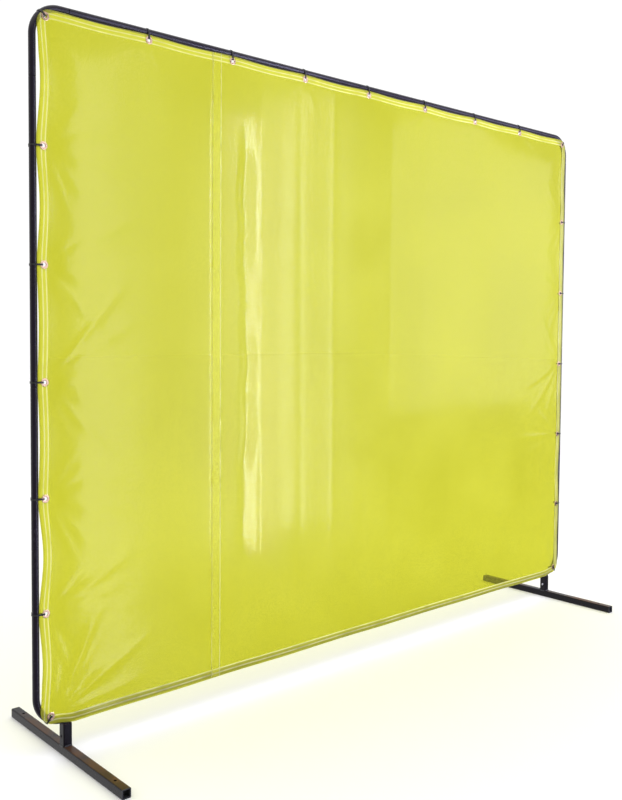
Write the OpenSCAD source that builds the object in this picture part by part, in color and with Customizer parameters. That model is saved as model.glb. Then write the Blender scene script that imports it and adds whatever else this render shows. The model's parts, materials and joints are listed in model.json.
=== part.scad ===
// Welding curtain screen: a slip-together tube frame on two floor feet, with a
// transparent vinyl curtain tied to it through grommets.
// +X runs along the screen, +Y from its front to its back, and +Z is up. The origin
// is on the floor, below the middle of the screen.

/* [Frame] */
// Width of the frame over the outside of its tubes
frame_w = 2438; // [2000:1:2750]
// Height of the frame over the outside of its tubes
frame_h = 1867; // [1500:1:2200]
// Height of the bottom tube's centre line above the floor
frame_lift = 96; // [94:1:140]
// Outer diameter of the frame tube
tube_d = 19.05; // [19:0.05:20]
// Wall of the frame tube
tube_wall = 1.2; // [1:0.1:1.5]
// Bend radius of the elbows, on the tube's centre line
bend_r = 75; // [60:1:80]
// Length of an elbow's plain leg, from the frame's outer face to its seam
plain_leg = 190; // [180:1:260]
// Length of an elbow's reduced leg, from the frame's outer face to its seam
swaged_leg = 110; // [105:1:140]
// Length of the reduced end that slides into the next tube
swage_len = 75; // [40:1:90]

/* [Feet] */
// Distance of each foot's centre line from the frame's outer face
foot_inset = 93.5; // [92:0.5:97]
// Length of a foot
foot_len = 610; // [400:1:900]
// Side of the square tube of the feet and posts
foot_w = 25.4; // [25.4:0.1:27]
// Wall of that square tube
foot_wall = 1.5; // [1.2:0.1:1.6]
// Distance between the two floor bolt holes of a foot
bolt_spacing = 508; // [300:1:560]
// Diameter of the floor bolt holes
bolt_d = 8; // [6:0.1:12]

/* [Snap buttons] */
// Diameter of a button
button_d = 8; // [6:0.1:9]
// Height of a button's centre line above the floor
button_z = 51; // [48:1:54]
// How far a button stands out of its post
button_out = 3; // [2:0.1:3.5]

/* [Curtain] */
// Thickness of the vinyl
vinyl_t = 0.36; // [0.3:0.02:0.6]
// Width of the hem along each edge
hem_w = 25; // [20:1:40]
// Distance from the middle of the screen to the left panel's welded lap
lap_x = 638; // [100:1:900]
// Width of the lap weld between the two panels
lap_w = 34; // [15:1:40]
// Gap between the curtain's side edges and the centre lines of the upright tubes
side_gap = 7; // [5:0.5:9]
// Height of the curtain's bottom edge above the bottom tube's centre line
edge_lift = 0; // [-2:0.5:6]
// Distance of the grommets from the centre lines of the tubes
grommet_inset = 24; // [24:0.5:28]
// Distance of the top corner grommets from the uprights' centre lines
top_corner_x = 31; // [29:0.5:33]
// Distance of the top corner grommets from the top tube's centre line
top_corner_z = 29; // [27:0.5:31]
// Distance of the bottom corner grommets from the uprights' centre lines
low_corner_x = 36; // [34:0.5:37]
// Distance of the bottom corner grommets from the bottom tube's centre line
low_corner_z = 22; // [21:0.5:24]
// Outer diameter of a grommet
grommet_d = 21.6; // [19:0.1:22]
// Diameter of a grommet's hole
grommet_hole_d = 9.8; // [9.6:0.1:10.4]
// Grommets along the top edge, with both corners
top_count = 9; // [5:1:13]
// Distance from the uprights' centre lines where the top row's even spacing starts
top_row_x = 48; // [24:1:60]
// Grommets down each side, with the bottom corner and without the top one
side_count = 6; // [4:1:8]
// How much lower the side grommets sit than an even spacing between the corners
side_drop = 28; // [0:1:40]

/* [Ties] */
// Width of a cable tie's strap
tie_w = 4.6; // [3.6:0.1:5]
// Thickness of a cable tie's strap
tie_t = 1.2; // [1:0.1:1.4]

/* [Hidden] */
$fn = 48;

eps = 0.01;

// Frame: sizes of its centre line
tube_r = tube_d / 2;
line_w = frame_w - tube_d;
line_h = frame_h - tube_d;
half_w = line_w / 2;
line_top = frame_lift + line_h;

// Slip joints
slip = 0.1;
swage_r = tube_r - tube_wall - slip;
shoulder = 2;
swaged_seam = swaged_leg - tube_r;
plain_seam = plain_leg - tube_r;

// Feet
foot_x = frame_w / 2 - foot_inset;

// Square tubes: the foot and post are one size, and the stub slides in the post
foot_r = 3;
stub_w = foot_w - 2 * foot_wall - 0.2;
stub_wall = 1.5;
stub_r = 1.4;
stub_bottom = 34;
stub_top = frame_lift - tube_r + 4.5;
post_top = frame_lift - tube_r - 1;
weld_r = 3.5;
flush_weld_r = 2;
saddle_gap = 0.02;

// Plugs
plug_rim = 1.5;
plug_depth = 15;
plug_wall = 1.6;
plug_gap = 0.1;

// Snap buttons
button_hole_gap = 0.1;
flange_r = button_d / 2 + 1.4;
flange_t = 1.2;
flange_gap = 0.1;
flange_out = stub_w / 2 - stub_wall - flange_gap;
spring_w = 7;
spring_t = 0.6;
spring_bend_z = button_z + 27;
spring_foot_z = button_z - 6;
spring_bend_r = 2.5;

// Curtain: the sheet lies just in front of the tubes
sheet_back = -tube_r - 1;
hem_t = 2 * vinyl_t;
joggle = 2;
sheet_front = sheet_back - hem_t;
edge_x = half_w - side_gap;
edge_top = line_top - tube_r;
corner_r = 40;
curtain_z = frame_lift + edge_lift;
grommet_pitch_x = 2 * (half_w - top_row_x) / (top_count - 1);
grommet_top_z = line_top - grommet_inset;
grommet_low_z = frame_lift + grommet_inset;
grommet_pitch_z = (grommet_top_z - grommet_low_z) / side_count;
flange_h = 1;
washer_h = 0.8;
barrel_gap = 0.1;
grommet_hole_r = grommet_hole_d / 2;
barrel_r = grommet_hole_r + 0.3;

// Ties: a belt round the tube, the curtain's edge and the grommet's rim
tie_gap = 0.17;
tie_bend_r = 0.5;
tie_rim = 4.1;
tie_front = -(sheet_front - flange_h) + 0.2;
tie_back = 9.3;
head_l = 7.5;
head_w = 6.4;
head_h = 5;

// --- shared shapes -----------------------------------------------------------------

// A pipe along +Z
module pipe(outer_r, inner_r, length) {
    difference() {
        cylinder(h = length, r = outer_r);
        translate([0, 0, -1]) cylinder(h = length + 2, r = inner_r);
    }
}

// The reduced end of a tube along +Z, from its shoulder to its tip
module swaged_end() {
    rotate_extrude()
        polygon([
            [swage_r - tube_wall, 0],
            [tube_r, 0],
            [swage_r, shoulder],
            [swage_r, swage_len - 1],
            [swage_r - 0.5, swage_len],
            [swage_r - tube_wall, swage_len]
        ]);
}

// Square bar with rounded edges, along +Z
module round_bar(side, r, length) {
    linear_extrude(height = length) {
        square([side, side - 2 * r], center = true);
        square([side - 2 * r, side], center = true);
        for (x = [-1, 1], y = [-1, 1])
            translate([x * (side / 2 - r), y * (side / 2 - r)]) circle(r = r);
    }
}

// Square tube with rounded edges, along +Z
module square_tube(side, r, wall, length) {
    difference() {
        round_bar(side, r, length);
        translate([0, 0, -1])
            linear_extrude(height = length + 2) square(side - 2 * wall, center = true);
    }
}

// --- frame -------------------------------------------------------------------------

// Puts a corner's pieces in place: 0 is top left, and each step is a quarter turn on
module at_corner(step) {
    corners = [
        [-half_w, 0, line_top],
        [half_w, 0, line_top],
        [half_w, 0, frame_lift],
        [-half_w, 0, frame_lift]
    ];
    translate(corners[step]) rotate([0, 90 * step, 0]) children();
}

// An elbow with its corner at the origin: plain leg down, reduced leg along +X
module elbow(step) {
    color([0.06, 0.06, 0.07]) at_corner(step) {
        translate([0, 0, -plain_seam]) pipe(tube_r, tube_r - tube_wall, plain_seam - bend_r);
        translate([bend_r, 0, -bend_r]) rotate([90, 0, 0])
            rotate_extrude(angle = 90, start = 90) translate([bend_r, 0]) difference() {
                circle(r = tube_r);
                circle(r = tube_r - tube_wall);
            }
        translate([bend_r, 0, 0]) rotate([0, 90, 0])
            pipe(tube_r, tube_r - tube_wall, swaged_seam - shoulder - bend_r);
        translate([swaged_seam - shoulder, 0, 0]) rotate([0, 90, 0]) swaged_end();
    }
}

// The straight tubes of one side: part 0 starts at the corner's seam, part 1 follows
module side_tube(step, part) {
    side = step % 2 == 0 ? line_w : line_h;
    seen = (side - swaged_seam - plain_seam) / 2;
    color([0.06, 0.06, 0.07]) at_corner(step)
        translate([swaged_seam + part * seen, 0, 0]) rotate([0, 90, 0]) {
            pipe(tube_r, tube_r - tube_wall, seen - shoulder);
            translate([0, 0, seen - shoulder]) swaged_end();
        }
}

// --- feet and posts ----------------------------------------------------------------

// A foot along Y, with its two floor bolt holes
module foot(side) {
    color([0.06, 0.06, 0.07]) translate([side * foot_x, 0, foot_w / 2]) difference() {
        translate([0, foot_len / 2, 0]) rotate([90, 0, 0])
            square_tube(foot_w, foot_r, foot_wall, foot_len);
        for (y = [-1, 1])
            translate([0, y * bolt_spacing / 2, -foot_w]) cylinder(h = 2 * foot_w, d = bolt_d);
    }
}

// The upright socket on a foot, with a button hole through both X walls
module post(side) {
    color([0.06, 0.06, 0.07]) translate([side * foot_x, 0, 0]) difference() {
        translate([0, 0, foot_w]) square_tube(foot_w, foot_r, foot_wall, post_top - foot_w);
        translate([-foot_w, 0, button_z]) rotate([0, 90, 0])
            cylinder(h = 2 * foot_w, d = button_d + 2 * button_hole_gap);
    }
}

// The frame's leg, which stands in the post and is coped to the bottom tube
module stub(side) {
    color([0.08, 0.08, 0.09]) translate([side * foot_x, 0, 0]) difference() {
        translate([0, 0, stub_bottom])
            square_tube(stub_w, stub_r, stub_wall, stub_top - stub_bottom);
        translate([-foot_w, 0, frame_lift]) rotate([0, 90, 0])
            cylinder(h = 2 * foot_w, r = tube_r + saddle_gap);
        translate([-side * foot_w / 2, 0, button_z]) rotate([0, 90, 0])
            cylinder(h = foot_w, d = button_d + 2 * button_hole_gap, center = true);
    }
}

// The weld round a post: fillets on the foot's top, and beads that fill the grooves
// between the post's flush sides and the foot's rounded edges
module post_weld(side) {
    span = foot_w - 2 * foot_r;
    color([0.1, 0.1, 0.11]) translate([side * foot_x, 0, foot_w]) difference() {
        union() {
            for (y = [-1, 1])
                translate([-span / 2, y * foot_w / 2, 0]) rotate([0, 90, 0])
                    cylinder(h = span, r = weld_r);
            for (x = [-1, 1])
                translate([x * (foot_w / 2 - 0.8), foot_w / 2 - foot_r, -1]) rotate([90, 0, 0])
                    cylinder(h = span, r = flush_weld_r);
        }
        translate([0, foot_w, -foot_w / 2]) rotate([90, 0, 0])
            round_bar(foot_w, foot_r, 2 * foot_w);
        round_bar(foot_w, foot_r, foot_w);
    }
}

// The two beads that hold a stub's front and back walls to the bottom tube
module stub_weld(side) {
    bead_l = stub_w - 2 * stub_r;
    color([0.1, 0.1, 0.11]) translate([side * foot_x, 0, 0]) difference() {
        for (y = [-1, 1])
            translate([-bead_l / 2, y * tube_r, stub_top]) rotate([0, 90, 0])
                cylinder(h = bead_l, r = 2);
        translate([-foot_w, 0, frame_lift]) rotate([0, 90, 0])
            cylinder(h = 2 * foot_w, r = tube_r);
        translate([-stub_w / 2, -stub_w / 2, 0]) cube([stub_w, stub_w, stub_top]);
    }
}

// The end plug of a foot: a rim over the tube's end and an open cup inside it
module plug(side, end) {
    body_w = foot_w - 2 * foot_wall - 2 * plug_gap;
    color([0.03, 0.03, 0.03])
        translate([side * foot_x, end * foot_len / 2, foot_w / 2]) rotate([-90 * end, 0, 0])
            difference() {
                union() {
                    round_bar(foot_w, foot_r, plug_rim);
                    translate([0, 0, -plug_depth])
                        linear_extrude(height = plug_depth + eps) square(body_w, center = true);
                }
                translate([0, 0, plug_wall - plug_depth])
                    linear_extrude(height = plug_depth + plug_rim)
                        square(body_w - 2 * plug_wall, center = true);
            }
}

// --- snap buttons ------------------------------------------------------------------

// A button along +X, measured from the post's centre line: flange, shank and dome
module button(side) {
    tip = foot_w / 2 + button_out;
    dome = 2;
    // Sphere that passes through the shank's edge and is dome high
    dome_r = (pow(button_d / 2, 2) + dome * dome) / (2 * dome);
    color([0.8, 0.8, 0.82]) translate([side * foot_x, 0, button_z]) rotate([0, -side * 90, 0]) {
        translate([0, 0, flange_out - flange_t]) cylinder(h = flange_t, r = flange_r);
        translate([0, 0, flange_out - eps])
            cylinder(h = tip - dome - flange_out + eps, d = button_d);
        intersection() {
            translate([0, 0, tip - dome_r]) sphere(r = dome_r);
            translate([0, 0, tip - dome - eps]) cylinder(h = dome + 1, d = button_d);
        }
    }
}

// The bent leaf spring in a stub: its legs press on the button and the far wall
module button_spring(side) {
    near = flange_out - flange_t - 0.05;
    far = stub_w / 2 - stub_wall - 0.15;
    knee_z = button_z + 4;
    arc = [for (a = [0 : 15 : 180]) [cos(a), sin(a)]];
    outer = concat(
        [[near, spring_foot_z], [near, knee_z]],
        [for (p = arc) [0, spring_bend_z] + spring_bend_r * p],
        [[-far, knee_z], [-far, spring_foot_z]]
    );
    inner = concat(
        [[near - spring_t, spring_foot_z], [near - spring_t, knee_z]],
        [for (p = arc) [0, spring_bend_z] + (spring_bend_r - spring_t) * p],
        [[spring_t - far, knee_z], [spring_t - far, spring_foot_z]]
    );
    color([0.55, 0.56, 0.58]) translate([side * foot_x, spring_w / 2, 0])
        mirror([side > 0 ? 1 : 0, 0, 0]) rotate([90, 0, 0]) linear_extrude(height = spring_w)
            polygon(concat(outer, [for (i = [len(inner) - 1 : -1 : 0]) inner[i]]));
}

// --- curtain -----------------------------------------------------------------------

// Centres of the grommets in X and Z; those in the corners are drawn in by the elbows
top_corner = [half_w - top_corner_x, line_top - top_corner_z];
low_corner = [half_w - low_corner_x, frame_lift + low_corner_z];
top_spots = [for (i = [0 : top_count - 1])
    i == 0 ? [-top_corner[0], top_corner[1]]
    : i == top_count - 1 ? top_corner
    : [-half_w + top_row_x + i * grommet_pitch_x, grommet_top_z]];
function side_spots(side) = [for (i = [1 : side_count])
    i == side_count ? [side * low_corner[0], low_corner[1]]
    : [side * (half_w - grommet_inset), grommet_top_z - side_drop - i * grommet_pitch_z]];

// Holds its children at each spot, turned so that +Z points to the front
module at_spots(spots, y) {
    for (p = spots)
        translate([p[0], y, p[1]]) rotate([90, 0, 0]) children();
}

// A quarter circle of the outline's corners, from the angle start
function corner_arc(x, z, start) =
    [for (a = [start : 9 : start + 90]) [x + corner_r * cos(a), z + corner_r * sin(a)]];

// The curtain's whole outline in X and Z, with rounded corners
module outline() {
    x = edge_x - corner_r;
    low = curtain_z + corner_r;
    high = edge_top - corner_r;
    polygon(concat(
        corner_arc(x, high, 0),
        corner_arc(-x, high, 90),
        corner_arc(-x, low, 180),
        corner_arc(x, low, 270)
    ));
}

// A slab of the outline between two X values, in front of the plane y
module slab(x0, x1, y, thickness) {
    translate([0, y, 0]) rotate([90, 0, 0]) linear_extrude(height = thickness)
        intersection() {
            outline();
            translate([x0, 0]) square([x1 - x0, line_top]);
        }
}

// The hem's middle, which stays a single layer, cut out of the back layer
module hem_window(x0, x1) {
    translate([x0, sheet_back + 1, curtain_z + hem_w])
        cube_to_front(x1 - x0, edge_top - curtain_z - 2 * hem_w, vinyl_t + 1);
}

// A box of depth d that ends at the front of its own origin
module cube_to_front(w, h, d) {
    translate([0, -d, 0]) cube([w, d, h]);
}

module grommet_holes(spots) {
    for (p = spots)
        translate([p[0], 0, p[1]]) rotate([90, 0, 0])
            cylinder(h = 4 * tube_r, r = barrel_r + barrel_gap);
}

// The narrow panel: front sheet, and the hem folded behind three of its edges
module curtain_panel_left() {
    right = -lap_x + lap_w / 2;
    color([0.85, 0.86, 0.3, 0.6]) difference() {
        slab(-edge_x - 1, right, sheet_back, hem_t);
        hem_window(-edge_x + hem_w, right - lap_w - joggle);
        grommet_holes(concat(top_spots, side_spots(-1)));
        // Room for the other panel, which laps over this one's right edge
        translate([right - lap_w, sheet_front + vinyl_t, 0])
            cube_to_front(lap_w + 1, line_top, 2);
    }
}

// The wide panel, whose left edge laps over the front of the narrow one
module curtain_panel_right() {
    left = -lap_x - lap_w / 2;
    lap_end = -lap_x + lap_w / 2;
    color([0.85, 0.86, 0.3, 0.6]) difference() {
        slab(left, edge_x + 1, sheet_back, hem_t);
        hem_window(lap_end - 1, edge_x - hem_w);
        grommet_holes(concat(top_spots, side_spots(1)));
        // The lap is the front layer alone
        translate([left - 1, sheet_back + 1, 0])
            cube_to_front(lap_w + 1, line_top, 1 + vinyl_t);
    }
}

// A grommet: front flange with a rounded rim, and a barrel through the sheet
module grommets(spots) {
    barrel_l = hem_t + washer_h;
    color([0.87, 0.75, 0.62]) at_spots(spots, sheet_front) rotate_extrude()
        polygon([
            [grommet_hole_r, -barrel_l],
            [barrel_r, -barrel_l],
            [barrel_r, 0],
            [grommet_d / 2, 0],
            [grommet_d / 2, flange_h / 2],
            [grommet_d / 2 - 1, flange_h],
            [grommet_hole_r + 1, flange_h],
            [grommet_hole_r, flange_h / 2]
        ]);
}

// The washer that backs a grommet
module washers(spots) {
    color([0.82, 0.7, 0.56]) at_spots(spots, sheet_back + washer_h) difference() {
        cylinder(h = washer_h, d = grommet_d - 1);
        translate([0, 0, -1]) cylinder(h = washer_h + 2, r = barrel_r + barrel_gap / 2);
    }
}

// --- ties --------------------------------------------------------------------------

// Direction of a belt's outward normal between two circles [x, y, r]
function belt_angle(a, b) =
    let (dx = b[0] - a[0], dy = b[1] - a[1])
    atan2(dy, dx) - acos((a[2] - b[2]) / norm([dx, dy]));

// Points of a belt run anticlockwise round a ring of circles, grown outwards
function belt(ring, grow) =
    [for (i = [0 : len(ring) - 1])
        let (
            n = len(ring),
            c = ring[i],
            a = belt_angle(ring[(i + n - 1) % n], c),
            b_raw = belt_angle(c, ring[(i + 1) % n]),
            b = b_raw < a ? b_raw + 360 : b_raw,
            steps = max(1, ceil((b - a) / 15))
        )
        for (k = [0 : steps])
            let (t = a + (b - a) * k / steps)
            [c[0] + (c[2] + grow) * cos(t), c[1] + (c[2] + grow) * sin(t)]];

// A tie in its own plane: the tube's centre is at the origin, +X points to the
// grommet and -Y to the front. hole is the grommet's distance and edge the curtain's.
// An edge further out than the tube's side lies inside the belt and needs no bend.
module tie(hole, edge) {
    reach = max(hole - tie_rim - tie_bend_r, tube_r + tie_gap + 0.4);
    ring = concat(
        [[0, 0, tube_r + tie_gap]],
        edge < tube_r ? [[edge, sheet_front + 0.2, tie_bend_r]] : [],
        [
            [hole - grommet_d / 2 + 0.7, tie_bend_r - tie_front, tie_bend_r],
            [reach, tie_bend_r - tie_front, tie_bend_r],
            [reach, -tie_back, tie_bend_r]
        ]
    );
    linear_extrude(height = tie_w, center = true) difference() {
        polygon(belt(ring, tie_t));
        polygon(belt(ring, 0));
    }
    // The ratchet head, behind the tube
    translate([-head_l / 2 - 1, tube_r + tie_gap + tie_t / 2, -head_w / 2])
        cube([head_l, head_h, head_w]);
}

// Ties along the top; the two corner ones lie across their elbows
module ties_top() {
    color([0.04, 0.04, 0.04]) {
        for (p = [for (i = [1 : top_count - 2]) top_spots[i]])
            translate([p[0], 0, line_top]) rotate([0, 90, 0]) tie(grommet_inset, tube_r);
        corner_tie(-1, 1);
        corner_tie(1, 1);
    }
}

module ties_side(side) {
    spots = side_spots(side);
    color([0.04, 0.04, 0.04]) {
        for (p = [for (i = [0 : side_count - 2]) spots[i]])
            translate([side * half_w, 0, p[1]]) mirror([side > 0 ? 1 : 0, 0, 0])
                tie(grommet_inset, side_gap + 0.3);
        corner_tie(side, -1);
    }
}

// A tie across an elbow, at the corner on that side, up 1 or down -1. It lies in the
// plane that holds the grommet and the centre of the elbow's bend.
module corner_tie(side, up) {
    spot = up > 0 ? top_corner : low_corner;
    bend_x = half_w - bend_r;
    bend_z = up > 0 ? line_top - bend_r : frame_lift + bend_r;
    out_x = spot[0] - bend_x;
    out_z = spot[1] - bend_z;
    reach = norm([out_x, out_z]);
    // How far the curtain's rounded corner lies outside the elbow's centre line
    cover_x = edge_x - corner_r - bend_x;
    cover_z = up > 0 ? edge_top - corner_r - bend_z : bend_z - curtain_z - corner_r;
    cover = norm([cover_x, cover_z]) + corner_r - bend_r;
    translate([side * bend_x, 0, bend_z])
        mirror([side > 0 ? 0 : 1, 0, 0]) rotate([0, -atan2(out_z, out_x), 0])
            translate([bend_r, 0, 0]) mirror([1, 0, 0]) tie(bend_r - reach, -cover - 0.3);
}

elbow(0);  // elbow_top_left
elbow(1);  // elbow_top_right
elbow(2);  // elbow_bottom_right
elbow(3);  // elbow_bottom_left
side_tube(0, 0);  // top_tube_left
side_tube(0, 1);  // top_tube_right
side_tube(1, 0);  // right_tube_upper
side_tube(1, 1);  // right_tube_lower
side_tube(2, 0);  // bottom_tube_right
side_tube(2, 1);  // bottom_tube_left
side_tube(3, 0);  // left_tube_lower
side_tube(3, 1);  // left_tube_upper
foot(-1);  // foot_left
foot(1);  // foot_right
post(-1);  // post_left
post(1);  // post_right
stub(-1);  // stub_left
stub(1);  // stub_right
post_weld(-1);  // post_weld_left
post_weld(1);  // post_weld_right
stub_weld(-1);  // stub_weld_left
stub_weld(1);  // stub_weld_right
plug(-1, -1);  // plug_left_front
plug(-1, 1);  // plug_left_back
plug(1, -1);  // plug_right_front
plug(1, 1);  // plug_right_back
button(-1);  // button_left
button(1);  // button_right
button_spring(-1);  // button_spring_left
button_spring(1);  // button_spring_right
curtain_panel_left();
curtain_panel_right();
grommets(top_spots);  // grommets_top
grommets(side_spots(-1));  // grommets_left
grommets(side_spots(1));  // grommets_right
washers(top_spots);  // washers_top
washers(side_spots(-1));  // washers_left
washers(side_spots(1));  // washers_right
ties_top();
ties_side(-1);  // ties_left
ties_side(1);  // ties_right
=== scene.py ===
"""Looks of the welding curtain screen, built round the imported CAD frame.

The tube frame, feet, grommets and ties are the CAD's own nodes with procedural
materials. The two vinyl panels are modelled here, in the place of the CAD's flat ones.
"""

import json
import math

import bpy
import numpy as np
from mathutils import Matrix, Vector


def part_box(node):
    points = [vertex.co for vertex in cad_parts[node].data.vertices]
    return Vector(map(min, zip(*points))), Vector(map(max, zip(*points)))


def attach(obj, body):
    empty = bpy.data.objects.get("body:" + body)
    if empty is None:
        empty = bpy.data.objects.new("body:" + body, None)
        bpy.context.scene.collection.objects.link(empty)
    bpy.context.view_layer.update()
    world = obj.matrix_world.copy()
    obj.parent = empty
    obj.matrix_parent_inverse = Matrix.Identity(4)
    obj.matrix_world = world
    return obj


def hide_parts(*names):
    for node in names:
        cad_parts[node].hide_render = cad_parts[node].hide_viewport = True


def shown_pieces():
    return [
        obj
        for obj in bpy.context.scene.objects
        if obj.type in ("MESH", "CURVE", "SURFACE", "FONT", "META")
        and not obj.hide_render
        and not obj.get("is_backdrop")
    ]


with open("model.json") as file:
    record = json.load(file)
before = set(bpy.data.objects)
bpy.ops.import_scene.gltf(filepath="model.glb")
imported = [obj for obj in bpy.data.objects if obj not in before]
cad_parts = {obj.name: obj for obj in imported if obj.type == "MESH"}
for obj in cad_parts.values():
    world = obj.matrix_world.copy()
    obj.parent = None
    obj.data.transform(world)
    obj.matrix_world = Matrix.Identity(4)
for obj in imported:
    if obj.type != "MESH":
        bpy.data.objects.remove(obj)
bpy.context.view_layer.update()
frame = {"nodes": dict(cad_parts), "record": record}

MM = 0.001


def add_object(name, data):
    """A new object in the scene."""
    made = bpy.data.objects.new(name, data)
    bpy.context.collection.objects.link(made)
    return made


# --- camera -----------------------------------------------------------------------


def camera_axes(yaw, pitch, roll):
    """Right, up and back directions of a camera that looks along +Y at yaw 0."""
    yaw, pitch, roll = (math.radians(a) for a in (yaw, pitch, roll))
    ahead = Vector(
        (math.sin(yaw) * math.cos(pitch), math.cos(yaw) * math.cos(pitch), math.sin(pitch))
    )
    level = Vector((math.cos(yaw), -math.sin(yaw), 0))
    above = level.cross(ahead)
    right = level * math.cos(roll) + above * math.sin(roll)
    up = above * math.cos(roll) - level * math.sin(roll)
    return right, up, -ahead


# Yaw, pitch and roll in degrees
CAMERA_TURN = (40.92, -2.65, 0.35)
CAMERA_PLACE = (-2.2511, -2.1566, 1.1308)


def add_camera():
    """A camera left of the middle and in front, at chest height."""
    data = bpy.data.cameras.new("camera")
    data.sensor_width = 36
    data.lens = 40.865
    data.shift_x = 0.0395
    data.shift_y = -0.0355
    data.clip_end = 200
    camera = add_object("camera", data)
    turn = Matrix(camera_axes(*CAMERA_TURN)).transposed().to_4x4()
    camera.matrix_world = Matrix.Translation(CAMERA_PLACE) @ turn
    bpy.context.scene.camera = camera


add_camera()


# --- helpers for materials --------------------------------------------------------


class Tree:
    """The node tree of a new material, with short ways to add nodes to it."""

    def __init__(self, name):
        self.material = bpy.data.materials.new(name)
        self.material.use_nodes = True
        self.nodes = self.material.node_tree.nodes
        self.nodes.clear()

    def add(self, kind, props=None, **inputs):
        """Adds a node. Inputs are named by their socket, with _ for a space."""
        node = self.nodes.new(kind)
        for key, value in (props or {}).items():
            setattr(node, key, value)
        for key, value in inputs.items():
            self.put(node.inputs[key.replace("_", " ")], value)
        return node

    def put(self, socket, value):
        """Links an output to a socket, or sets the socket's own value."""
        if isinstance(value, bpy.types.NodeSocket):
            self.material.node_tree.links.new(value, socket)
        else:
            socket.default_value = value

    def math(self, operation, a, b=0.0, clamp=False):
        node = self.nodes.new("ShaderNodeMath")
        node.operation = operation
        node.use_clamp = clamp
        self.put(node.inputs[0], a)
        self.put(node.inputs[1], b)
        return node.outputs[0]

    def scale(self, value, low, high, to_low=0.0, to_high=1.0):
        """Maps low..high of a value smoothly to to_low..to_high."""
        node = self.nodes.new("ShaderNodeMapRange")
        node.interpolation_type = "SMOOTHSTEP"
        self.put(node.inputs["Value"], value)
        node.inputs["From Min"].default_value = low
        node.inputs["From Max"].default_value = high
        node.inputs["To Min"].default_value = to_low
        node.inputs["To Max"].default_value = to_high
        return node.outputs[0]

    def mix(self, factor, a, b):
        """A colour between a and b."""
        node = self.nodes.new("ShaderNodeMix")
        node.data_type = "RGBA"
        self.put(node.inputs["Factor"], factor)
        self.put(node.inputs[6], a)
        self.put(node.inputs[7], b)
        return node.outputs[2]

    def blend(self, factor, a, b):
        """A shader between a and b."""
        node = self.add("ShaderNodeMixShader", Fac=factor)
        self.put(node.inputs[1], a)
        self.put(node.inputs[2], b)
        return node.outputs[0]

    def place(self, stretch=(1, 1, 1)):
        """Position in the object's own space, in metres, stretched per axis."""
        coords = self.nodes.new("ShaderNodeTexCoord")
        mapping = self.add("ShaderNodeMapping", Vector=coords.outputs["Object"])
        mapping.inputs["Scale"].default_value = stretch
        return mapping.outputs[0]

    def noise(self, where, scale, detail=3.0, roughness=0.5):
        node = self.add("ShaderNodeTexNoise", Vector=where)
        node.inputs["Scale"].default_value = scale
        node.inputs["Detail"].default_value = detail
        node.inputs["Roughness"].default_value = roughness
        return node.outputs[0]

    def bump(self, height, distance, strength=1.0, normal=None):
        node = self.add("ShaderNodeBump", Height=height)
        node.inputs["Distance"].default_value = distance
        node.inputs["Strength"].default_value = strength
        if normal is not None:
            self.put(node.inputs["Normal"], normal)
        return node.outputs[0]

    def end(self, shader):
        """Makes the shader the material's surface."""
        output = self.nodes.new("ShaderNodeOutputMaterial")
        self.put(output.inputs["Surface"], shader)
        return self.material


def colour(r, g, b):
    return (r, g, b, 1.0)


# --- materials of the frame -------------------------------------------------------


def paint(name, base, dust_and_reflection_colour, dust_and_reflection, ior):
    """Glossy black powder coat: fine orange peel, scuffs, and a second colour on top faces: dust on
    the tubes, and a painted reflection of the yellow film on the feet.
    """
    t = Tree(name)
    where = t.place()
    cloud = t.noise(where, 9.0, 4.0)
    scuff = t.scale(t.noise(t.place((1, 1, 0.25)), 160.0, 5.0, 0.65), 0.6, 0.74)
    normal = t.add("ShaderNodeNewGeometry").outputs["Normal"]
    up = t.add("ShaderNodeSeparateXYZ", Vector=normal).outputs["Z"]
    # Top faces take the second colour: dust on the tubes, and on the feet a painted reflection of
    # the yellow film.
    top_dust_and_reflection = t.math("MULTIPLY", t.scale(up, 0.5, 1.0), t.scale(cloud, 0.35, 0.75))
    dust_and_reflection_amount = t.math("MULTIPLY", top_dust_and_reflection, dust_and_reflection)
    marks_and_reflection = t.math("MAXIMUM", dust_and_reflection_amount, t.math("MULTIPLY", scuff, 0.2))
    peel = t.noise(where, 900.0, 2.0)
    rough = t.scale(cloud, 0.3, 0.8, 0.22, 0.32)
    shader = t.add(
        "ShaderNodeBsdfPrincipled",
        Base_Color=t.mix(marks_and_reflection, base, dust_and_reflection_colour),
        Roughness=t.math("ADD", rough, t.math("MULTIPLY", marks_and_reflection, 0.3)),
        Normal=t.bump(t.math("ADD", peel, scuff), 0.1 * MM, 0.5),
    )
    shader.inputs["IOR"].default_value = ior
    return t.end(shader.outputs[0])


def weld_paint():
    """The same paint over a weld bead, whose ripples show through."""
    t = Tree("weld_paint_look")
    where = t.place()
    ripple = t.add("ShaderNodeTexWave", Vector=where, Scale=220.0, Distortion=5.0).outputs[1]
    spatter = t.noise(where, 600.0, 4.0)
    height = t.math("ADD", ripple, t.math("MULTIPLY", spatter, 0.6))
    shader = t.add(
        "ShaderNodeBsdfPrincipled",
        Base_Color=t.mix(spatter, colour(0.008, 0.008, 0.010), colour(0.03, 0.03, 0.035)),
        Roughness=t.scale(spatter, 0.3, 0.7, 0.25, 0.45),
        Normal=t.bump(height, 0.0006, 0.8),
    )
    return t.end(shader.outputs[0])


def plug_plastic():
    """Moulded black polyethylene, finely grained."""
    t = Tree("plug_plastic_look")
    where = t.place()
    grain = t.noise(where, 1500.0, 3.0)
    cloud = t.noise(where, 60.0, 3.0)
    shader = t.add(
        "ShaderNodeBsdfPrincipled",
        Base_Color=t.mix(cloud, colour(0.010, 0.010, 0.012), colour(0.028, 0.028, 0.030)),
        Roughness=t.scale(grain, 0.3, 0.7, 0.4, 0.58),
        Normal=t.bump(grain, 0.0001, 0.6),
    )
    return t.end(shader.outputs[0])


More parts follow.
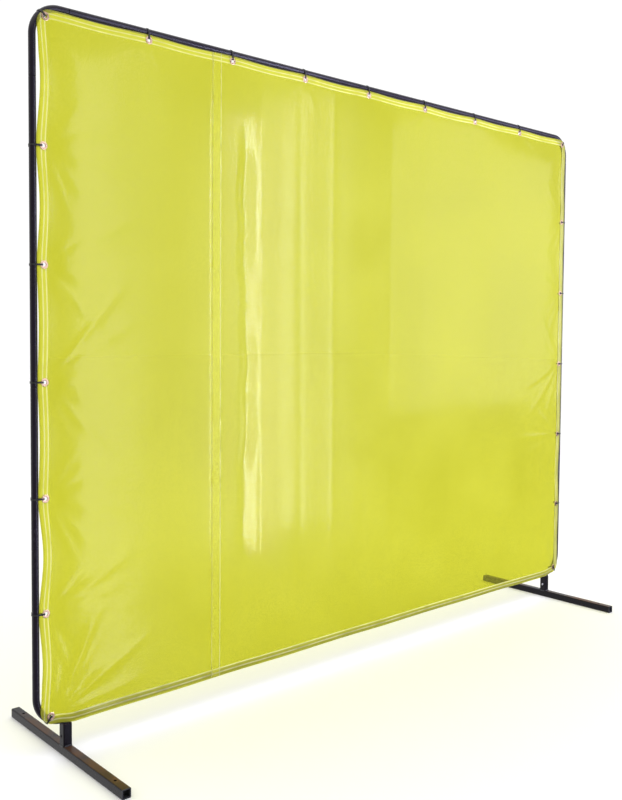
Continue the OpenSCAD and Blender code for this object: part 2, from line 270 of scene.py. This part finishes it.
def bright_steel(name, stretch, tone):
    """Zinc-plated or spring steel with drawn lines."""
    t = Tree(name)
    lines = t.noise(t.place(stretch), 700.0, 4.0)
    cloud = t.noise(t.place(), 150.0, 3.0)
    dark = tuple(c * 0.7 for c in tone[:3]) + (1.0,)
    shader = t.add(
        "ShaderNodeBsdfPrincipled",
        Base_Color=t.mix(t.math("MULTIPLY", lines, cloud), tone, dark),
        Metallic=1.0,
        Roughness=t.scale(lines, 0.3, 0.7, 0.18, 0.36),
        Normal=t.bump(lines, 0.00005, 0.5),
    )
    return t.end(shader.outputs[0])


def grommet_brass():
    """Rolled, pale copper-brass plating with fine turning marks."""
    t = Tree("grommet_brass_look")
    where = t.place()
    cloud = t.noise(where, 220.0, 4.0)
    fine = t.noise(where, 1400.0, 2.0)
    shader = t.add(
        "ShaderNodeBsdfPrincipled",
        Base_Color=t.mix(cloud, colour(0.76, 0.56, 0.38), colour(0.58, 0.38, 0.22)),
        Metallic=1.0,
        Roughness=t.scale(cloud, 0.3, 0.7, 0.24, 0.4),
        Normal=t.bump(fine, 0.00006, 0.6),
    )
    return t.end(shader.outputs[0])


def tie_nylon():
    """Moulded black nylon with the strap's fine teeth."""
    t = Tree("tie_nylon_look")
    where = t.place()
    cloud = t.noise(where, 130.0, 3.0)
    teeth = t.add("ShaderNodeTexWave", Vector=where, Scale=260.0).outputs[1]
    shader = t.add(
        "ShaderNodeBsdfPrincipled",
        Base_Color=t.mix(cloud, colour(0.008, 0.008, 0.008), colour(0.022, 0.022, 0.020)),
        Roughness=t.scale(cloud, 0.3, 0.7, 0.34, 0.5),
        Normal=t.bump(teeth, 0.0001, 0.5),
    )
    return t.end(shader.outputs[0])


def dress_frame():
    """Gives every CAD node the material of its slot in the record."""
    tube_black, tube_dust = colour(0.009, 0.006, 0.012), colour(0.06, 0.055, 0.07)
    # The feet's brown top colour is a painted reflection of the yellow film in the glossy paint.
    foot_black, foot_painted_reflection = colour(0.005, 0.004, 0.006), colour(0.13, 0.06, 0.025)
    looks = {
        "frame_paint": paint("frame_paint_look", tube_black, tube_dust, dust_and_reflection=0.3, ior=1.38),
        "foot_paint": paint("foot_paint_look", foot_black, foot_painted_reflection, dust_and_reflection=0.85, ior=1.28),
        "weld_paint": weld_paint(),
        "plug_plastic": plug_plastic(),
        "button_steel": bright_steel("button_steel_look", (1, 1, 8), colour(0.62, 0.62, 0.64)),
        "spring_steel": bright_steel("spring_steel_look", (8, 1, 1), colour(0.42, 0.42, 0.44)),
        "grommet_brass": grommet_brass(),
        "tie_nylon": tie_nylon(),
    }
    slots = {p["node"]: p["material_slot"] for p in frame["record"]["subparts"]}
    for name, node in frame["nodes"].items():
        look = looks.get(slots[name])
        if look is not None:
            node.data.materials.clear()
            node.data.materials.append(look)


# --- material of the vinyl --------------------------------------------------------


def band(t, value, centre, half_width):
    """1 in a band round centre and 0 outside, with soft sides."""
    away = t.math("ABSOLUTE", t.math("SUBTRACT", value, centre))
    return t.scale(away, half_width * 0.6, half_width * 1.4, 1.0, 0.0)


def vinyl(edge_x, low, high, lap_x, lap_w, hem_w):
    """Clear yellow-green vinyl film. Hems and lap are welded, which clouds them."""
    t = Tree("vinyl_look")
    # Places on the film as it was cut, before it billows
    flat = t.add("ShaderNodeUVMap", {"uv_map": "flat"}).outputs[0]
    parts = t.add("ShaderNodeSeparateXYZ", Vector=flat)
    x, z = parts.outputs[0], parts.outputs[1]
    side = t.math("SUBTRACT", edge_x, t.math("ABSOLUTE", x))
    ends = t.math("MINIMUM", t.math("SUBTRACT", high, z), t.math("SUBTRACT", z, low))
    inset = t.math("MINIMUM", side, ends)
    hem = t.scale(inset, hem_w - 0.5 * MM, hem_w + 0.5 * MM, 1.0, 0.0)
    weld_out = band(t, inset, 11 * MM, 1.6 * MM)
    weld_in = band(t, inset, hem_w - 3 * MM, 1.6 * MM)
    off_lap = t.math("ABSOLUTE", t.math("SUBTRACT", x, lap_x))
    lap = t.scale(off_lap, lap_w / 2 - 0.3 * MM, lap_w / 2 + 0.3 * MM, 1.0, 0.0)
    lap_weld = band(t, off_lap, lap_w / 2 - 2 * MM, 1.3 * MM)
    welds = t.math("MAXIMUM", t.math("MAXIMUM", weld_out, weld_in), lap_weld)

    cloud = t.noise(flat, 3.0, 4.0, 0.6)
    drawn = t.add("ShaderNodeMapping", Vector=flat, Scale=(9.0, 0.6, 1.0)).outputs[0]
    streaks = t.noise(drawn, 4.0, 4.0)
    patchy = t.scale(t.noise(flat, 14.0, 4.0), 0.3, 0.62)
    knurl = t.math("MULTIPLY", t.noise(flat, 900.0, 2.0), patchy)
    knurled = t.math("MULTIPLY", welds, knurl)
    haze = t.math("ADD", t.scale(cloud, 0.3, 0.7, 0.05, 0.10), t.math("MULTIPLY", streaks, 0.04))
    doubled = t.math("MAXIMUM", t.math("MULTIPLY", hem, 0.2), t.math("MULTIPLY", lap, 0.07))
    haze = t.math("ADD", haze, doubled)
    haze = t.math("ADD", haze, t.math("MULTIPLY", knurled, 0.4))

    # Two films lie in the lap, so each takes half the colour there
    tint = t.mix(lap, colour(0.737, 0.739, 0.165), colour(0.847, 0.849, 0.41))
    ripple = t.noise(flat, 11.0, 2.0, 0.35)
    height = t.math("ADD", ripple, t.math("MULTIPLY", knurled, 0.8))
    normal = t.bump(height, 0.3 * MM, 0.25)

    clear = t.add("ShaderNodeBsdfTransparent", Color=tint)
    cloudy = t.mix(welds, colour(0.84, 0.84, 0.12), colour(0.93, 0.92, 0.60))
    diffuse = t.add("ShaderNodeBsdfDiffuse", Color=cloudy, Normal=normal)
    through = t.add("ShaderNodeBsdfTranslucent", Color=cloudy, Normal=normal)
    milk = t.blend(0.5, diffuse.outputs[0], through.outputs[0])
    body = t.blend(haze, clear.outputs[0], milk)
    crisp = t.add(
        "ShaderNodeBsdfGlossy", Roughness=t.scale(cloud, 0.3, 0.7, 0.09, 0.14), Normal=normal
    )
    soft = t.add(
        "ShaderNodeBsdfGlossy", Roughness=t.scale(cloud, 0.3, 0.7, 0.28, 0.36), Normal=normal
    )
    gloss = t.blend(0.6, crisp.outputs[0], soft.outputs[0])
    facing = t.add("ShaderNodeLayerWeight", Blend=0.5, Normal=normal).outputs["Facing"]
    mirror = t.math("ADD", t.math("MULTIPLY", t.math("POWER", facing, 5.0), 0.6), 0.026)
    return t.end(t.blend(mirror, body, gloss))


# --- shape of the curtain ---------------------------------------------------------

left_low, left_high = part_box("curtain_panel_left")
right_low, right_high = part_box("curtain_panel_right")

EDGE_X = right_high[0]
LOW_Z = right_low[2]
HIGH_Z = right_high[2]
FRONT_Y = right_low[1]
BACK_Y = right_high[1]
PLY = (BACK_Y - FRONT_Y) / 2
LAP_W = left_high[0] - right_low[0]
LAP_X = (left_high[0] + right_low[0]) / 2
HEM_W = 25 * MM
CORNER_R = 40 * MM
# Longest side of a grid cell, and the cells' size next to a grommet
STEP = 9 * MM
HOLE_STEP = 8.5 * MM
HOLE_R = 6 * MM
# Reach of the pull that centres the grid on a grommet
PULL_REACH = 14 * MM
# Reach of the flat, clamped ring round a grommet, and where the film is free again
CLAMPED = 13 * MM
FREE = 60 * MM
# Widths of the slopes from two plies down to one, at a hem and at the lap
HEM_SLOPE = 1.5 * MM
LAP_SLOPE = 2 * MM
# Air between the two films in the lap
LAP_GAP = 0.03 * MM
# Limits in X and Z beyond which a grommet belongs to a side, top or bottom row
SIDE_ROW_X = 1.1
TOP_ROW_Z = 1.9
LOW_ROW_Z = 0.2
# How far the film's sides draw in between two ties, from the bottom up
SIDE_SAG = (8 * MM, 11 * MM, 3 * MM, 2.5 * MM, 7 * MM, 10 * MM)


def ring_centres(name):
    """Centres in X and Z of the separate rings in a CAD node."""
    points = np.array([v.co for v in frame["nodes"][name].data.vertices])[:, [0, 2]]
    centres = []
    while len(points):
        near = np.linalg.norm(points - points[0], axis=1) < 30 * MM
        centres.append((points[near].min(0) + points[near].max(0)) / 2)
        points = points[~near]
    return centres


GROMMETS = {side: ring_centres("grommets_" + side) for side in ("top", "left", "right")}
ALL_GROMMETS = [c for centres in GROMMETS.values() for c in centres]
SIDE_Z = sorted(c[1] for c in GROMMETS["left"])
TOP_X = sorted(c[0] for c in GROMMETS["top"])
HIGH_TIE_Z = max(c[1] for c in GROMMETS["top"])


def smooth(value, low, high):
    """0 below low and 1 above high, with an S-shaped rise between."""
    s = np.clip((value - low) / (high - low), 0, 1)
    return s * s * (3 - 2 * s)


def between(value, spots, heights=(1,)):
    """0 at each of the sorted spots and a height midway between two of them."""
    spots = np.array(spots)
    i = np.clip(np.searchsorted(spots, value) - 1, 0, len(spots) - 2)
    part = (value - spots[i]) / (spots[i + 1] - spots[i])
    return np.array(heights)[i % len(heights)] * np.sin(np.pi * np.clip(part, 0, 1)) ** 2


def fold(x, z, start, angle, length, width, height):
    """A ridge that leaves start at an angle in degrees and widens as it fades."""
    c, s = math.cos(math.radians(angle)), math.sin(math.radians(angle))
    along = ((x - start[0]) * c + (z - start[1]) * s) / length
    across = (z - start[1]) * c - (x - start[0]) * s
    spread = width * (0.35 + np.clip(along, 0, 1))
    rise = smooth(along, 0.0, 0.18) * (1 - smooth(along, 0.35, 1.0))
    return height * rise * np.exp(-np.abs(across / spread) ** 1.5)


def billow(x, z):
    """The broad, shallow waves of a hanging film, more across than down."""
    u, v = x + 1.2, z - 0.1
    wave = 3.2 * np.sin(2.6 * u + 0.5 * v) + 2.2 * np.sin(5.3 * u + 1.1 * np.sin(1.3 * v) + 1.0)
    wave += 1.3 * np.sin(9.7 * u + 0.9 * v) + 0.8 * np.sin(17 * u + 0.7 * np.sin(2.1 * v))
    wave += 1.6 * np.sin(3.1 * v + 0.9 * u)
    return wave * MM


# X in metres and height in millimetres of each crease
CREASES = ((-0.470, 1.0), (-0.305, -0.7), (-0.158, 0.8), (-0.011, -0.5), (0.120, 0.6), (0.297, 0.5))


def creases(x, z):
    """Sharp vertical lines left by the way the film was folded in its packet."""
    total = np.zeros_like(x)
    for i, (at, height) in enumerate(CREASES):
        line = at + 3 * MM * np.sin(1.7 * z + i)
        total += height * MM * np.exp(-np.abs(x - line) / (16 * MM))
    return total


def pucker(x, z):
    """The slack ridge beside the lap: steep and wavy on its left, gentle on its right."""
    line = -0.540 + 5 * MM * np.sin(7 * z + 0.6) + 3 * MM * np.sin(31 * z + 1)
    across = x - line
    rise = smooth(across, -13 * MM, 3 * MM)
    fall = 1 - smooth(across, -12 * MM, 78 * MM)
    height = (2.6 + 1.0 * np.sin(9 * z) + 0.5 * np.sin(23 * z + 2)) * MM
    fade = smooth(z, 0.2, 0.5) * (1 - smooth(z, 1.5, 1.78))
    teeth = 0.5 * MM * np.sin(2 * np.pi * (z / 0.055 + across / 0.05))
    teeth *= np.exp(-((across / (14 * MM)) ** 2)) * (0.5 + 0.5 * np.sin(6 * z))
    return fade * (height * rise * fall + teeth)


def tie_wrinkles(x, z):
    """Short ridges that fan out from every tie."""
    rng = np.random.default_rng(11)
    total = np.zeros_like(x)
    for side, inward in (("left", 0), ("right", 180)):
        for spot in GROMMETS[side]:
            low = 1.0 - 0.6 * (spot[1] - LOW_Z) / (HIGH_Z - LOW_Z)
            for lean in (-64, -42, -20, -4, 12, 30, 50):
                angle = inward + (lean + rng.uniform(-6, 6)) * (1 if inward == 0 else -1)
                length = rng.uniform(0.10, 0.30) * (0.6 + low)
                height = rng.uniform(1.4, 3.4) * low * MM
                total += fold(x, z, spot, angle, length, rng.uniform(8, 14) * MM, height)
    for spot in GROMMETS["top"]:
        for lean in (-55, -18, 22, 58):
            angle = -90 + lean + rng.uniform(-9, 9)
            length = rng.uniform(0.06, 0.15)
            height = rng.uniform(0.5, 1.2) * MM
            total += fold(x, z, spot, angle, length, rng.uniform(5, 9) * MM, height)
    return total


# Angle in degrees, length in metres, and width and height in millimetres of each fold
LEFT_FOLDS = (
    (62, 0.34, 16, 7),
    (30, 0.26, 11, 5),
    (84, 0.20, 9, 3.5),
    (46, 0.13, 10, 6),
    (12, 0.17, 10, 6),
)
RIGHT_FOLDS = (
    (122, 0.26, 14, 3),
    (150, 0.22, 11, 3.5),
    (136, 0.14, 10, 4),
)


def corner_folds(x, z):
    """Longer folds between the lower corners, the bottom edge and the ties above."""
    left = min(GROMMETS["left"], key=lambda c: c[1])
    right = (-left[0], left[1])
    total = np.zeros_like(x)
    for start, folds in ((left, LEFT_FOLDS), (right, RIGHT_FOLDS)):
        for angle, length, width, height in folds:
            total += fold(x, z, start, angle, length, width * MM, height * MM)
    return total


def clamp_weight(x, z):
    """0 where a grommet and its tie hold the film flat, rising to 1 away from them."""
    weight = np.ones_like(x)
    for gx, gz in ALL_GROMMETS:
        dx, dz = x - gx, z - gz
        # Towards the edge the tie keeps the film flat as well
        if abs(gx) > SIDE_ROW_X:
            dx = np.where(x * np.sign(gx) > abs(gx), 0, dx)
        if gz > TOP_ROW_Z:
            dz = np.where(z > gz, 0, dz)
        if gz < LOW_ROW_Z:
            dz = np.where(z < gz, 0, dz)
        weight *= smooth(np.hypot(dx, dz), CLAMPED, FREE)
    return weight


def edge_weight(x, z):
    """Less freedom close to the curtain's edge."""
    inset = np.minimum(EDGE_X - np.abs(x), np.minimum(HIGH_Z - z, z - LOW_Z))
    return 0.25 + 0.75 * smooth(inset, 0, 140 * MM)


def bulge(x, z):
    """How far the film stands forward of its flat place."""
    total = billow(x, z) * edge_weight(x, z) + creases(x, z) + pucker(x, z)
    total += tie_wrinkles(x, z) + corner_folds(x, z)
    side = smooth(EDGE_X - np.abs(x), 0, 60 * MM)
    total += 2.0 * MM * (1 - side) * between(z, SIDE_Z + [HIGH_TIE_Z])
    total *= clamp_weight(x, z)
    # The tubes behind stop the film from going back near the edges
    inset = np.minimum(z - LOW_Z, EDGE_X - np.abs(x))
    return np.maximum(total, -0.4 * MM - 6 * MM * smooth(inset, 20 * MM, 80 * MM))


def draw(x, z):
    """Sideways and upward moves that scallop the edges between the ties."""
    inset = EDGE_X - np.abs(x)
    sag = between(z, SIDE_Z + [HIGH_TIE_Z], SIDE_SAG) * np.exp(-inset / (70 * MM))
    # The outermost strip lies on the tube
    rest = 2.5 * MM * (1 - smooth(inset, 0, 8 * MM)) * smooth(z, LOW_Z + 60 * MM, LOW_Z + 120 * MM)
    dx = np.sign(x) * (rest * (1 - smooth(z, HIGH_Z - 120 * MM, HIGH_Z - 60 * MM)) - sag)
    top_reach = np.exp(-(HIGH_Z - z) / (60 * MM))
    dz = -4 * MM * between(x, TOP_X) * top_reach
    low_reach = np.exp(-(z - LOW_Z) / (90 * MM))
    corner = smooth(inset, 40 * MM, 100 * MM)
    drop = 5.6 + 3 * (1 - smooth(x, -1.1, 0.2)) + 1.5 * smooth(x, 0.5, 1.0) + 0.8 * np.sin(14 * x)
    dz -= drop * MM * low_reach * corner
    return dx, dz


def graded(stops, step):
    """Stops with even divisions between them, none longer than step."""
    stops = sorted(stops)
    out = [stops[0]]
    for a, b in zip(stops, stops[1:]):
        n = max(1, math.ceil((b - a) / step - 1e-6))
        out += [a + (b - a) * k / n for k in range(1, n + 1)]
    return np.array(out)


def round_corners(x, z):
    """Moves points of a rectangle's corners into its rounded outline."""
    mid_z = (LOW_Z + HIGH_Z) / 2
    u = np.clip((np.abs(x) - EDGE_X + CORNER_R) / CORNER_R, 0, 1)
    v = np.clip((np.abs(z - mid_z) - (HIGH_Z - LOW_Z) / 2 + CORNER_R) / CORNER_R, 0, 1)
    du = u * np.sqrt(1 - v * v / 2) - u
    dv = v * np.sqrt(1 - u * u / 2) - v
    return x + np.sign(x) * du * CORNER_R, z + np.sign(z - mid_z) * dv * CORNER_R


# Steps in X and Z to the eight neighbours of a grid point, anticlockwise from the front
RING = [(1, 0), (1, 1), (0, 1), (-1, 1), (-1, 0), (-1, -1), (0, -1), (1, -1)]


def grid_lines(x_low, x_high):
    """Places of the grid's lines in X and Z: edges, hems, lap and grommets, and between."""
    side = max(abs(c[0]) for c in GROMMETS["right"])
    pitch_x = (EDGE_X - side) / 2
    pitch_z = (HIGH_Z - HIGH_TIE_Z) / 2
    lip = [HEM_W, HEM_W + HEM_SLOPE]
    xs = [x_low, x_high]
    for sign in (-1, 1):
        xs += [sign * (side + k * pitch_x) for k in (-1, 0, 1)]
        xs += [sign * (EDGE_X - d) for d in lip]
    for gx in TOP_X[1:-1]:
        xs += [gx + k * HOLE_STEP for k in (-1, 0, 1)]
    xs += [LAP_X - LAP_W / 2 - LAP_SLOPE, LAP_X - LAP_W / 2, LAP_X + LAP_W / 2]
    xs = graded([v for v in set(xs) if x_low - 1e-6 <= v <= x_high + 1e-6], STEP)
    zs = [LOW_Z, HIGH_Z, HIGH_TIE_Z - pitch_z, HIGH_TIE_Z, HIGH_TIE_Z + pitch_z]
    zs += [LOW_Z + d for d in lip] + [HIGH_Z - d for d in lip]
    for gz in SIDE_Z:
        zs += [gz + k * HOLE_STEP for k in (-1, 0, 1)]
    return xs, graded(set(zs), STEP)


def panel_grid(x_low, x_high):
    """Flat points and quads of one panel, with an eight-sided hole at each grommet."""
    xs, zs = grid_lines(x_low, x_high)
    gx, gz = np.meshgrid(xs, zs, indexing="ij")
    x, z = round_corners(gx.ravel(), gz.ravel())
    rows = len(zs)
    i, j = np.meshgrid(np.arange(len(xs) - 1), np.arange(rows - 1), indexing="ij")
    corner = (i * rows + j).ravel()
    quads = np.stack([corner, corner + rows, corner + rows + 1, corner + 1], axis=1)
    extra_x, extra_z, extra = [], [], []
    drop = np.zeros(len(x), bool)
    for cx, cz in ALL_GROMMETS:
        if not x_low < cx < x_high:
            continue
        near = int(np.argmin(np.hypot(x - cx, z - cz)))
        off_x, off_z = cx - x[near], cz - z[near]
        pull = 1 - smooth(np.hypot(x - x[near], z - z[near]), 0, PULL_REACH)
        x, z = x + off_x * pull, z + off_z * pull
        drop[near] = True
        around = [near + a * rows + b for a, b in RING]
        start = len(x) + len(extra_x)
        for k in range(8):
            turn = math.atan2(z[around[k]] - cz, x[around[k]] - cx)
            extra_x.append(cx + HOLE_R * math.cos(turn))
            extra_z.append(cz + HOLE_R * math.sin(turn))
            n = (k + 1) % 8
            extra.append([around[k], around[n], start + n, start + k])
    quads = quads[~drop[quads].any(axis=1)]
    quads = np.concatenate([quads, np.array(extra)]) if extra else quads
    x = np.concatenate([x, extra_x])
    z = np.concatenate([z, extra_z])
    used = np.unique(quads)
    number = np.full(len(x), -1)
    number[used] = np.arange(len(used))
    return x[used], z[used], number[quads]


def depths(x, z, laps_behind):
    """Depths of the film's front and back: two plies in hems and lap, one elsewhere."""
    inset = np.minimum(EDGE_X - np.abs(x), np.minimum(HIGH_Z - z, z - LOW_Z))
    hem = 1 - smooth(inset, HEM_W, HEM_W + HEM_SLOPE)
    low, high = LAP_X - LAP_W / 2, LAP_X + LAP_W / 2
    if laps_behind:
        lap = smooth(x, low - LAP_SLOPE, low)
        return lap * (PLY + LAP_GAP), np.maximum(PLY * (1 + hem), lap * 2 * PLY)
    lap = 1 - smooth(x, high, high + LAP_SLOPE)
    return np.zeros_like(x), PLY * (1 + hem * (1 - lap))


def make_panel(name, x_low, x_high, laps_behind):
    """One closed film panel, from its flat grid moved into its hung shape."""
    x, z, quads = panel_grid(x_low, x_high)
    out = bulge(x, z)
    dx, dz = draw(x, z)
    front_in, back_in = depths(x, z, laps_behind)
    front = np.stack([x + dx, FRONT_Y + front_in - out, z + dz], axis=1)
    back = np.stack([x + dx, FRONT_Y + back_in - out, z + dz], axis=1)
    n = len(x)
    edges = np.concatenate([quads[:, [k, (k + 1) % 4]] for k in range(4)])
    known = {(int(a), int(b)) for a, b in edges}
    rim = np.array([(a, b) for a, b in known if (b, a) not in known])
    rim = rim[np.lexsort((rim[:, 1], rim[:, 0]))]
    walls = np.stack([rim[:, 1], rim[:, 0], rim[:, 0] + n, rim[:, 1] + n], axis=1)
    faces = np.concatenate([quads, quads[:, ::-1] + n, walls])
    mesh = bpy.data.meshes.new(name)
    mesh.from_pydata(np.concatenate([front, back]).tolist(), [], faces.tolist())
    smooth_faces = np.ones(len(faces), bool)
    smooth_faces[2 * len(quads) :] = False
    mesh.polygons.foreach_set("use_smooth", smooth_faces)
    flat = mesh.uv_layers.new(name="flat")
    corners = np.empty(len(mesh.loops), int)
    mesh.loops.foreach_get("vertex_index", corners)
    places = np.stack([np.tile(x, 2), np.tile(z, 2)], axis=1)
    flat.data.foreach_set("uv", places[corners].ravel())
    mesh.update()
    return add_object(name, mesh)


def add_curtain():
    """The two film panels, with their size as cut."""
    look = vinyl(EDGE_X, LOW_Z, HIGH_Z, LAP_X, LAP_W, HEM_W)
    spans = {
        "left": (left_low[0], left_high[0], True),
        "right": (right_low[0], right_high[0], False),
    }
    for side, (x_low, x_high, laps_behind) in spans.items():
        panel = make_panel("curtain_" + side, x_low, x_high, laps_behind)
        panel.data.materials.append(look)
        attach(panel, "screen")
        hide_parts("curtain_panel_" + side)


# --- floor and light --------------------------------------------------------------


# Half the floor's side
FAR = 30


def add_floor():
    """A wide, plain, pale floor."""
    t = Tree("floor_look")
    where = t.place()
    cloud = t.noise(where, 0.8, 4.0)
    grain = t.noise(where, 300.0, 2.0)
    shader = t.add(
        "ShaderNodeBsdfPrincipled",
        Base_Color=t.mix(cloud, colour(0.90, 0.90, 0.90), colour(0.93, 0.93, 0.93)),
        Roughness=t.scale(grain, 0.3, 0.7, 0.6, 0.75),
    )
    shader.inputs["Specular IOR Level"].default_value = 0.2
    look = t.end(shader.outputs[0])
    mesh = bpy.data.meshes.new("floor")
    corners = [(-FAR, -FAR, 0), (FAR, -FAR, 0), (FAR, FAR, 0), (-FAR, FAR, 0)]
    mesh.from_pydata(corners, [], [(0, 1, 2, 3)])
    mesh.materials.append(look)
    floor = add_object("floor", mesh)
    # The film mirrors the lamps' lower ends as if the floor were not there
    floor.visible_glossy = False
    floor.visible_shadow = False
    floor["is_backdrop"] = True


def add_softbox(name, place, target, width, height, power):
    """A large rectangular lamp that the camera doesn't see."""
    data = bpy.data.lights.new(name, "AREA")
    data.shape = "RECTANGLE"
    data.size = width
    data.size_y = height
    data.energy = power
    lamp = add_object(name, data)
    lamp.location = place
    lamp.rotation_euler = (Vector(target) - Vector(place)).to_track_quat("-Z", "Y").to_euler()
    lamp.visible_camera = False
    return lamp


def add_world():
    """White surroundings, with colours shown as they are."""
    world = bpy.data.worlds.new("studio")
    world.use_nodes = True
    nodes, links = world.node_tree.nodes, world.node_tree.links
    sky = nodes["Background"]
    sky.inputs["Color"].default_value = colour(1.0, 1.0, 1.0)
    # White where it is looked at, and dim in front of the screen, where the film mirrors it
    direction = nodes.new("ShaderNodeTexCoord")
    parts = nodes.new("ShaderNodeSeparateXYZ")
    depth = nodes.new("ShaderNodeMapRange")
    depth.inputs["From Min"].default_value = -0.35
    depth.inputs["From Max"].default_value = 0.35
    depth.inputs["To Min"].default_value = 0.22
    dome = nodes.new("ShaderNodeMapRange")
    dome.inputs["From Min"].default_value = 0.3
    dome.inputs["From Max"].default_value = 0.65
    dome.inputs["To Max"].default_value = 1.35
    seen = nodes.new("ShaderNodeLightPath")
    high = nodes.new("ShaderNodeMath")
    high.operation = "MAXIMUM"
    strength = nodes.new("ShaderNodeMix")
    strength.inputs["B"].default_value = 1.05
    links.new(direction.outputs["Generated"], parts.inputs[0])
    links.new(parts.outputs["Y"], depth.inputs["Value"])
    links.new(parts.outputs["Z"], dome.inputs["Value"])
    links.new(depth.outputs[0], high.inputs[0])
    links.new(dome.outputs[0], high.inputs[1])
    links.new(seen.outputs["Is Camera Ray"], strength.inputs["Factor"])
    links.new(high.outputs[0], strength.inputs["A"])
    links.new(strength.outputs[0], sky.inputs["Strength"])
    bpy.context.scene.world = world
    bpy.context.scene.view_settings.view_transform = "Standard"


# Lamps in front that the film mirrors: name, X, middle Z, width, height and power
FRONT_LAMPS = (
    ("strip_left", -0.15, 0.9, 0.4, 3.0, 22),
    ("strip_narrow", 0.68, 1.1, 0.1, 2.2, 26),
    ("strip_before", 0.84, 1.22, 0.18, 2.3, 4),
    ("strip_middle", 1.04, 1.22, 0.2, 2.3, 16),
    ("strip_after", 1.21, 1.22, 0.12, 2.3, 3),
    ("softbox_right", 2.7, 1.5, 1.6, 1.7, 34),
)
FRONT_LAMP_Y = -1.5


def add_lamps():
    """Bluish softboxes in front, mirrored by the film, and two white ones above."""
    # The lamps in front light the screen alone, and leave the floor even
    lit = bpy.data.collections.new("lit_by_strips")
    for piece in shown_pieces():
        lit.objects.link(piece)
    for name, x, z, width, height, power in FRONT_LAMPS:
        lamp = add_softbox(name, (x, FRONT_LAMP_Y, z), (x, 0, z), width, height, power)
        lamp.data.color = (0.68, 0.68, 1.0)
        lamp.light_linking.receiver_collection = lit
    add_softbox("softbox_top", (0.5, 2.0, 4.0), (0, 0, 0), 4.0, 2.0, 15)
    wash = add_softbox("floor_wash", (0.2, -1.4, 2.4), (0.2, -1.4, 0), 4.5, 1.2, 22)
    wash.visible_glossy = False


dress_frame()
add_curtain()
add_floor()
add_world()
add_lamps()
